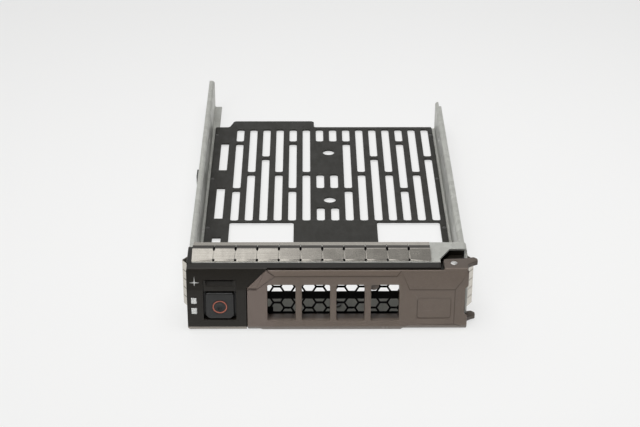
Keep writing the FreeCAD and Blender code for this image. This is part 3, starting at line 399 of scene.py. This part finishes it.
def printedInk(name, colour, centre=None, reach=None, ground=None):
    made, tree, skin, place = startMaterial(name)
    grain = useGroup(tree, "grain", {"Position": place, "Pitch": ink["pitch"], "Depth": ink["depth"]})
    chips = remap(tree, noise(tree, place, ink["chips"], 3.0, 0.6), *ink["chip"])
    base = mixColour(tree, chips, colour, shade(colour, ink["chipped"]))
    if centre:
        away = reachFrom(tree, place, centre, (1, 0, 1))
        base = mixColour(tree, remap(tree, away, *reach), base, ground)
    put(tree, skin.inputs["Base Color"], base)
    put(tree, skin.inputs["Roughness"], remap(tree, grain["Value"], *ink["rough"]))
    put(tree, skin.inputs["Normal"], grain["Normal"])
    return made


turning = {"rings": 42000.0, "stains": 1500.0, "stained": 0.7, "rough": (-0.5, 1.5, 0.2, 0.38), "depth": 0.000003}


def turnedPin(name, colour, centre):
    made, tree, skin, place = startMaterial(name, Metallic=1.0)
    rings = calc(tree, "SINE", calc(tree, "MULTIPLY", reachFrom(tree, place, centre, (1, 1, 0)), turning["rings"]))
    stain = noise(tree, place, turning["stains"], 3.0)
    put(tree, skin.inputs["Base Color"], mixColour(tree, stain, colour, shade(colour, turning["stained"])))
    put(tree, skin.inputs["Roughness"], remap(tree, calc(tree, "ADD", rings, stain), *turning["rough"]))
    put(tree, skin.inputs["Normal"], bump(tree, rings, turning["depth"]))
    return made


clear = {"fade": 1.6, "haze": 900.0, "bright": (0.86, 0.87, 0.85), "hazy": (0.72, 0.73, 0.71), "through": 0.85,
         "frostRough": 0.35, "hazeRough": 0.16, "depth": 0.000008}


def clearRod(name, frostDepth):
    made, tree, skin, place = startMaterial(name, IOR=1.49)
    frost = remap(tree, axisOf(tree, place, 1), frostDepth, frostDepth * clear["fade"], 1.0, 0.0)
    haze = noise(tree, place, clear["haze"], 3.0)
    put(tree, skin.inputs["Base Color"], mixColour(tree, haze, clear["bright"], clear["hazy"]))
    blocked = calc(tree, "MULTIPLY", frost, clear["through"])
    put(tree, skin.inputs["Transmission Weight"], calc(tree, "SUBTRACT", clear["through"], blocked))
    put(tree, skin.inputs["Roughness"], calc(tree, "ADD", calc(tree, "MULTIPLY", frost, clear["frostRough"]),
                                             calc(tree, "MULTIPLY", haze, clear["hazeRough"])))
    put(tree, skin.inputs["Normal"], bump(tree, haze, clear["depth"]))
    return made


buttonBlack = (0.014, 0.014, 0.0135)
pinCentre = (46.2 * mm, 5.4 * mm, 0.0)
ringCentre = (-40.0 * mm, 0.0, 10.2 * mm)
ringEdge = (2.63 * mm, 2.73 * mm)  # outside this radius the ring has the button's black
# painted light on the handle's left end
handleLeftLight = (-24.0 * mm, -17.0 * mm)  # the handle pales from the right end of this stretch to the left one
# where the painted shade band lies on the contact strip
stripCreaseShade = {"front": (13.1 * mm, 13.4 * mm), "rear": (15.8 * mm, 16.2 * mm), "height": (26.8 * mm, 27.0 * mm)}
finishes = {
    "coated_steel": coatedSheet("coatedPlate", (0.014, 0.013, 0.0095), 0.48, 0.05, spec=0.4),
    "galvanised_steel": zincSheet("zincSheet", (0.60, 0.605, 0.565), (0.45, 0.45, 0.42), 0.50),
    # bezel: painted highlight on the foot strip and painted shade on recessed faces
    "black_plastic": mouldedPlastic("bezelPlastic", (0.0155, 0.0125, 0.0085), (0.065, 0.058, 0.05), 0.34,
                                    dusty=0.02, spec=0.32, recessShade=0.6, footTone=(0.36, 0.315, 0.27)),
    "black_mesh": coatedSheet("meshCoat", (0.003, 0.003, 0.003), 0.5, 0.0, spec=0.03),
    # handle: painted shade on recessed faces and painted light on the left end
    "handle_plastic": mouldedPlastic("handlePlastic", (0.162, 0.125, 0.099), (0.24, 0.185, 0.165), 0.42,
                                     amount=0.3, dusty=0.03, recessShade=0.6, leftLight=handleLeftLight),
    "bright_pin": turnedPin("turnedPin", (0.95, 0.94, 0.92), pinCentre),
    "spring_wire": drawnMetal("springWire", (0.5, 0.5, 0.5), 0.34, (900.0, 900.0, 900.0)),
    "button_plastic": mouldedPlastic("buttonPlastic", buttonBlack, (0.07, 0.07, 0.067), 0.34,
                                     pitch=0.00028, amount=0.4, dusty=0.03),
    "orange_mark": printedInk("orangeRing", (0.5, 0.15, 0.098), centre=ringCentre, reach=ringEdge,
                              ground=buttonBlack),
    "latch_plastic": mouldedPlastic("latchPlastic", (0.035, 0.035, 0.034), (0.12, 0.12, 0.11), 0.5),
    "black_screw": drawnMetal("blackScrew", (0.05, 0.05, 0.05), 0.4, (1500.0, 1500.0, 300.0)),
    "clear_plastic": clearRod("clearRod", 1.6 * mm),
    "contact_strip": drawnMetal("contactStrip", (0.62, 0.585, 0.525), 0.21, (50.0, 2200.0, 2200.0),
                                depth=0.0000006, crease=stripCreaseShade),
    # painted shade: the finish of the dark sheet on the sleeve's floor
    "film_sheet": coatedSheet("shadeFilmSheet", (0.19, 0.19, 0.16), 0.5, 0.05),
    "black_rivet": coatedSheet("rivetCoat", (0.05, 0.05, 0.047), 0.42, 0.1),
    "bright_rivet": drawnMetal("rivetMetal", (0.58, 0.58, 0.56), 0.34, (1200.0, 1200.0, 1200.0)),
}
print("caddy: finishes made")

# millimetres, square millimetres and degrees
softening = {"merge": 0.002, "flat": 0.6, "crease": 2.5, "sharp": 28.0, "acute": 25.0, "region": 3.0, "stray": 1.2,
             "gentle": 14.0, "groove": 0.2}
softPieces = {
    "handle": {"name": "handleBody", "width": 0.24, "creased": True},
    "front_bezel": {"name": "bezelShell", "width": 0.2, "creased": True},
    "release_button": {"name": "buttonCap", "width": 0.2, "creased": True},
    "button_ring": {"name": "buttonRing", "width": 0.06},
    "base_plate": {"name": "basePlate", "width": 0.10},
    "left_rail": {"name": "leftRail", "width": 0.10},
    "right_rail": {"name": "rightRail", "width": 0.10},
    "front_frame": {"name": "frontSleeve", "width": 0.10},
    "mesh_screen": {"name": "meshScreen", "width": 0.07},
    "top_gasket": {"name": "topStrip", "width": 0.04},
    "left_gasket": {"name": "leftStrip", "width": 0.04},
    "right_gasket": {"name": "rightStrip", "width": 0.04},
    "latch_housing": {"name": "latchCase", "width": 0.12},
    "latch_slider": {"name": "latchSlider", "width": 0.10},
    "housing_screws": {"name": "caseScrews", "width": 0.10},
    "pivot_pin": {"name": "pivotPin", "width": 0.10},
    "upper_light_pipe": {"name": "upperRod", "width": 0.12},
    "lower_light_pipe": {"name": "lowerRod", "width": 0.12},
    "light_pipe_clip": {"name": "rodClip", "width": 0.10},
    "plate_rivets": {"name": "plateRivets", "width": 0.08},
    "frame_rivets": {"name": "frameRivets", "width": 0.12},
    "floor_rivets": {"name": "floorRivets", "width": 0.12, "slot": "black_rivet"},
}
bodyOf = {}
for body, members in frame["record"]["behaviour"]["bodies"].items():
    for member in members:
        bodyOf[member] = body


def flatRegions(bm):
    flat = math.radians(softening["flat"])
    regionOf = {}
    areas = []
    for start in bm.faces:
        if start in regionOf:
            continue
        areas.append(0.0)
        regionOf[start] = len(areas) - 1
        queue = [start]
        while queue:
            face = queue.pop()
            areas[-1] += face.calc_area() / mm ** 2
            for edge in face.edges:
                if len(edge.link_faces) == 2 and edge.calc_face_angle(0.0) < flat:
                    for other in edge.link_faces:
                        if other not in regionOf:
                            regionOf[other] = len(areas) - 1
                            queue.append(other)
    return {face: areas[index] for face, index in regionOf.items()}


def edgesToSoften(bm, creased):
    picked = set()
    areaOf = flatRegions(bm) if creased else {}
    for edge in bm.edges:
        if len(edge.link_faces) != 2:
            continue
        turn = math.degrees(edge.calc_face_angle(0.0))
        wide = creased and min(areaOf[face] for face in edge.link_faces) > softening["region"]
        if turn > softening["sharp"] or (wide and turn > softening["crease"]):
            picked.add(edge)
    for face in bm.faces:
        for loop in face.loops:
            pair = (loop.edge, loop.link_loop_prev.edge)
            if pair[0] in picked and pair[1] in picked and loop.calc_angle() < math.radians(softening["acute"]):
                picked.discard(min(pair, key=lambda edge: edge.calc_length()))
    return list(picked)


def addBox(bm, low, high):
    made = bmesh.ops.create_cube(bm, size=1.0)["verts"]
    size = [(high[k] - low[k]) * mm for k in range(3)]
    bmesh.ops.scale(bm, vec=size, verts=made)
    bmesh.ops.translate(bm, vec=[(high[k] + low[k]) / 2 * mm for k in range(3)], verts=made)


# each row is a place along Y and a length
reliefs = {"fingers": 11, "left": -50.3, "pitch": 8.018, "rows": ((12.9, 2.4), (6.6, 1.5)), "wide": 0.9, "tall": 4.0,
           "level": 27.0, "sides": 20}


def reliefPlaces():
    return [reliefs["left"] + index * reliefs["pitch"] for index in range(1, reliefs["fingers"])]


def reliefCutter():
    bm = bmesh.new()
    for x in reliefPlaces():
        for y, length in reliefs["rows"]:
            made = bmesh.ops.create_cone(bm, cap_ends=True, segments=reliefs["sides"], radius1=0.5, radius2=0.5,
                                         depth=1.0)["verts"]
            bmesh.ops.scale(bm, vec=(reliefs["wide"] * mm, length * mm, reliefs["tall"] * mm), verts=made)
            bmesh.ops.translate(bm, vec=(x * mm, y * mm, reliefs["level"] * mm), verts=made)
    return bm


def carve(bm, cutter):
    made = []
    for label, source in (("carved", bm), ("cutter", cutter)):
        mesh = bpy.data.meshes.new(label)
        source.to_mesh(mesh)
        source.free()
        made.append(bpy.data.objects.new(label, mesh))
        scene.collection.objects.link(made[-1])
    cut = made[0].modifiers.new("cut", "BOOLEAN")
    cut.operation = "DIFFERENCE"
    cut.solver = "EXACT"
    cut.object = made[1]
    result = bmesh.new()
    result.from_object(made[0], bpy.context.evaluated_depsgraph_get())
    for piece in made:
        bpy.data.objects.remove(piece)
    return result


def dress(bm, name, finish, body="carrier"):
    mesh = bpy.data.meshes.new(name)
    bm.to_mesh(mesh)
    bm.free()
    mesh.materials.append(finish)
    piece = bpy.data.objects.new(name, mesh)
    scene.collection.objects.link(piece)
    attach(piece, body)
    return piece


def soften(node, name, width, slot, creased, cutter):
    bm = bmesh.new()
    bm.from_mesh(nodes[node].data)
    if cutter:
        bmesh.ops.remove_doubles(bm, verts=bm.verts, dist=softening["merge"] * mm)
        bm = carve(bm, cutter())
    rubbed = bm.verts.layers.float.new("softEdge")
    # the crevice layer marks concave bevel strips for painted shade
    creviceShade = bm.verts.layers.float.new("crevice")
    bmesh.ops.remove_doubles(bm, verts=bm.verts, dist=softening["merge"] * mm)
    bmesh.ops.recalc_face_normals(bm, faces=bm.faces)
    surface = BVHTree.FromBMesh(bm)
    made = bmesh.ops.bevel(bm, geom=edgesToSoften(bm, creased), offset=width * mm, offset_type="OFFSET", segments=2,
                           profile=0.5, affect="EDGES", material=-1, loop_slide=False, clamp_overlap=False)
    bm.normal_update()
    strips = set(made["faces"])
    gentle = math.radians(softening["gentle"])
    grooves = []
    low, high = (Vector(corner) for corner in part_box(node))
    for vert in made["verts"]:
        if all(face in strips for face in vert.link_faces):
            outward = any(edge.is_convex for edge in vert.link_edges)
            if creased and max(edge.calc_face_angle(0.0) for edge in vert.link_edges) < gentle:
                grooves.append((vert, vert.normal * softening["groove"] * mm))
                outward = False
            # convex strips take the wear layer; the rest take the layer for painted shade in creases
            vert[rubbed if outward else creviceShade] = 1.0
        nearest, _, _, distance = surface.find_nearest(vert.co)
        if distance > softening["stray"] * width * mm:
            vert.co = nearest
        vert.co = [min(max(vert.co[k], low[k]), high[k]) for k in range(3)]
    for vert, depth in grooves:
        vert.co -= depth
    for face in bm.faces:
        face.smooth = True
    piece = dress(bm, name, finishes[slot], bodyOf[node])
    piece.modifiers.new("faceNormals", "WEIGHTED_NORMAL").keep_sharp = True
    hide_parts(node)


for name, node in nodes.items():
    node.data.materials.clear()
    node.data.materials.append(finishes[slotOf[name]])
cutters = {"top_gasket": reliefCutter}
for node, plan in softPieces.items():
    soften(node, plan["name"], plan["width"], plan.get("slot", slotOf[node]), plan.get("creased", False),
           cutters.get(node))
print("caddy: edges softened on", len(softPieces), "pieces")


def thicken(bm, depth):
    bmesh.ops.solidify(bm, geom=bm.faces, thickness=depth * mm)
    bmesh.ops.recalc_face_normals(bm, faces=bm.faces)


# arms are the star's up, left, down and right points
statusMark = {"at": (-49.15, 0.305, 20.4), "tilt": 6.58, "waist": 0.28, "thick": 0.02,
              "arms": {0: 2.6, 2: 1.85, 4: 1.4, 6: 1.85}}


def makeStatusMark():
    bm = bmesh.new()
    bmesh.ops.create_circle(bm, cap_ends=True, segments=8, radius=statusMark["waist"] * mm)
    bm.verts.ensure_lookup_table()
    for index, reach in statusMark["arms"].items():
        bm.verts[index].co *= reach / statusMark["waist"]
    around = Matrix.Rotation(math.radians(90 - statusMark["tilt"]), 4, "X")
    bmesh.ops.transform(bm, matrix=Matrix.Translation(Vector(statusMark["at"]) * mm) @ around, verts=bm.verts)
    thicken(bm, statusMark["thick"])
    dress(bm, "statusMark", whitePrint)


# painted shade: a dark sheet on the sleeve's floor inside the front, standing in for shade there
shadeFilm = {"low": (-25.4, 6.9), "high": (40.0, 17.9), "rest": 2.4, "thick": 0.06}


def makeShadeFilm():
    bm = bmesh.new()
    bmesh.ops.create_grid(bm, x_segments=1, y_segments=1, size=0.5)
    low, high = shadeFilm["low"], shadeFilm["high"]
    middle = Vector(((low[0] + high[0]) / 2, (low[1] + high[1]) / 2, shadeFilm["rest"] + shadeFilm["thick"]))
    bmesh.ops.scale(bm, vec=((high[0] - low[0]) * mm, (high[1] - low[1]) * mm, 1), verts=bm.verts)
    bmesh.ops.translate(bm, vec=middle * mm, verts=bm.verts)
    thicken(bm, shadeFilm["thick"])
    dress(bm, "floorShadeFilm", finishes["film_sheet"])


# painted shade: a black block under the pivot notch so that the notch shows dark
notchShadeBlock = {"low": (40.6, 15.35, 16.0), "high": (50.9, 15.95, 25.1), "edge": 0.1}


def makeNotchShadeBlock():
    bm = bmesh.new()
    addBox(bm, notchShadeBlock["low"], notchShadeBlock["high"])
    bmesh.ops.bevel(bm, geom=list(bm.edges), offset=notchShadeBlock["edge"] * mm, segments=1, profile=0.5,
                    affect="EDGES", material=-1)
    dress(bm, "notchShadeBlock", finishes["black_plastic"])


# slope gives the strip's front and rear points as Y and Z
stripLining = {"slope": ((5.9, 26.14), (12.8, 27.49)), "left": -50.2, "right": 37.8, "front": 7.3, "rear": 11.8,
               "thick": 0.04}


def makeStripLining():
    bm = bmesh.new()
    front, rear = (Vector(point) for point in stripLining["slope"])
    thick = stripLining["thick"] / 2
    addBox(bm, (stripLining["left"], stripLining["front"] - front.x, -thick),
           (stripLining["right"], stripLining["rear"] - front.x, thick))
    rise = math.atan2(rear.y - front.y, rear.x - front.x)
    bmesh.ops.rotate(bm, cent=(0, 0, 0), matrix=Matrix.Rotation(rise, 3, "X"), verts=bm.verts)
    bmesh.ops.translate(bm, vec=(0, front.x * mm, front.y * mm), verts=bm.verts)
    dress(bm, "stripLining", finishes["contact_strip"])


# painted shade: black pads under the relief slots so that the slots show dark
reliefShadePads = {"front": 6.1, "rear": 16.9, "half": 0.9, "rest": 26.0, "thick": 0.04}


def makeReliefShadePads():
    bm = bmesh.new()
    rest, half = reliefShadePads["rest"], reliefShadePads["half"]
    for x in reliefPlaces():
        addBox(bm, (x - half, reliefShadePads["front"], rest), (x + half, reliefShadePads["rear"], rest + reliefShadePads["thick"]))
    dress(bm, "reliefShadePads", finishes["black_mesh"])


whitePrint = printedInk("whitePrint", (0.72, 0.72, 0.70))
makeStatusMark()
makeShadeFilm()
makeNotchShadeBlock()
makeReliefShadePads()
makeStripLining()
print("caddy: mark, film, guard, pads and lining made")

# the camera's place is in millimetres, and the studio is in metres
camera = {"at": (-8.15, -517.0, 334.9), "down": 28.9, "turn": -0.55, "roll": 0.2, "lens": 92.94, "sensor": 36.0,
          "clip": (0.01, 50.0)}
studio = {"floor": (0.90, 0.90, 0.895), "floorHalf": 3.0, "glow": 0.68, "glowColour": (0.93, 0.93, 0.925),
          "bright": (0.04, 0.06), "rim": 0.80, "spread": (0.05, 0.5), "apron": 0.04, "fade": (-0.11, -0.02)}
# front dims the side that the camera stands on, sides makes the right brighter near the middle, flanks the far left
sky = {"backdrop": 0.62, "high": 0.26, "band": (0.5, 0.75), "front": 0.25, "turnBand": (-0.35, 0.25),
       "sides": (0.7, 1.3), "sideBand": (-0.12, 0.12), "flanks": (1.5, 0.5), "flankBand": (-0.6, 0.6)}
lamps = {
    "softTop": {"at": (0.0, -0.12, 1.3), "to": (0, 0.0, 0), "size": (1.3, 0.7), "power": 12.0},
    "softRear": {"at": (-0.53, 1.0, 1.33), "to": (-0.53, 0, 0), "size": (1.0, 0.8), "power": 2.3},
    "softFront": {"at": (-0.7, -1.3, 1.0), "to": (0, 0, 0), "size": (0.9, 0.9), "power": 6.5},
}


def makeCamera():
    data = bpy.data.cameras.new("camera")
    data.lens = camera["lens"]
    data.sensor_width = camera["sensor"]
    data.clip_start, data.clip_end = camera["clip"]
    eye = bpy.data.objects.new("camera", data)
    scene.collection.objects.link(eye)
    turn = Matrix.Rotation(math.radians(camera["turn"]), 4, "Z")
    tilt = Matrix.Rotation(math.radians(90 - camera["down"]), 4, "X")
    roll = Matrix.Rotation(math.radians(camera["roll"]), 4, "Z")
    eye.matrix_world = Matrix.Translation(Vector(camera["at"]) * mm) @ turn @ tilt @ roll
    scene.camera = eye


def rayShare(tree, labels):
    path = tree.nodes.new("ShaderNodeLightPath")
    share = path.outputs[labels[0]]
    for label in labels[1:]:
        share = calc(tree, "MAXIMUM", share, path.outputs[label])
    return share


def makeFloor():
    bm = bmesh.new()
    bmesh.ops.create_grid(bm, x_segments=1, y_segments=1, size=studio["floorHalf"])
    mesh = bpy.data.meshes.new("floor")
    bm.to_mesh(mesh)
    bm.free()
    floor = bpy.data.objects.new("floor", mesh)
    scene.collection.objects.link(floor)
    paper = bpy.data.materials.new("floorPaper")
    paper.use_nodes = True
    tree = paper.node_tree
    tree.nodes.clear()
    out = tree.nodes.new("ShaderNodeOutputMaterial")
    matt = addNode(tree, "ShaderNodeBsdfDiffuse", {}, {"Color": (*studio["floor"], 1)})
    place = tree.nodes.new("ShaderNodeTexCoord").outputs["Object"]
    fade = remap(tree, axisOf(tree, place, 1), *studio["fade"], studio["apron"], 1.0)
    level = calc(tree, "MAXIMUM", fade, rayShare(tree, ("Is Camera Ray", "Is Transmission Ray")))
    reach = reachFrom(tree, place, (*studio["bright"], 0.0), (1, 1, 1))
    level = calc(tree, "MULTIPLY", level, remap(tree, reach, *studio["spread"], 1.0, studio["rim"]))
    glow = addNode(tree, "ShaderNodeEmission", {}, {"Color": (*studio["glowColour"], 1), "Strength": level})
    direct = calc(tree, "MULTIPLY", rayShare(tree, ("Is Camera Ray", "Is Transmission Ray")), studio["glow"])
    share = calc(tree, "MAXIMUM", direct, rayShare(tree, ("Is Glossy Ray",)))
    mix = addNode(tree, "ShaderNodeMixShader", {}, {0: share, 1: matt.outputs[0], 2: glow.outputs[0]})
    tree.links.new(mix.outputs[0], out.inputs[0])
    mesh.materials.append(paper)


def makeWorld():
    world = bpy.data.worlds.new("studio")
    scene.world = world
    world.use_nodes = True
    tree = world.node_tree
    tree.nodes.clear()
    out = tree.nodes.new("ShaderNodeOutputWorld")
    aim = addNode(tree, "ShaderNodeSeparateXYZ", {}, {0: tree.nodes.new("ShaderNodeTexCoord").outputs["Generated"]})
    height = remap(tree, aim.outputs[2], *sky["band"], sky["backdrop"], sky["high"])
    front = remap(tree, aim.outputs[1], *sky["turnBand"], sky["front"], 1.0)
    for share, band in (("sides", "sideBand"), ("flanks", "flankBand")):
        front = calc(tree, "MULTIPLY", front, remap(tree, aim.outputs[0], *sky[band], *sky[share]))
    level = calc(tree, "MULTIPLY", height, front)
    seen = rayShare(tree, ("Is Camera Ray",))
    strength = addNode(tree, "ShaderNodeMix", {"data_type": "FLOAT"}, {0: seen, 2: level, 3: 1.0})
    shine = addNode(tree, "ShaderNodeBackground", {}, {"Color": (1, 1, 1, 1), "Strength": strength.outputs[0]})
    tree.links.new(shine.outputs[0], out.inputs[0])


def makeLamps():
    for name, plan in lamps.items():
        data = bpy.data.lights.new(name, "AREA")
        data.shape = "RECTANGLE"
        data.size, data.size_y = plan["size"]
        data.energy = plan["power"]
        lamp = bpy.data.objects.new(name, data)
        scene.collection.objects.link(lamp)
        aim = Vector(plan["to"]) - Vector(plan["at"])
        lamp.matrix_world = Matrix.Translation(plan["at"]) @ aim.to_track_quat("-Z", "Y").to_matrix().to_4x4()


makeCamera()
makeFloor()
makeWorld()
makeLamps()
scene.view_settings.view_transform = "Standard"
print("caddy: camera and studio made")
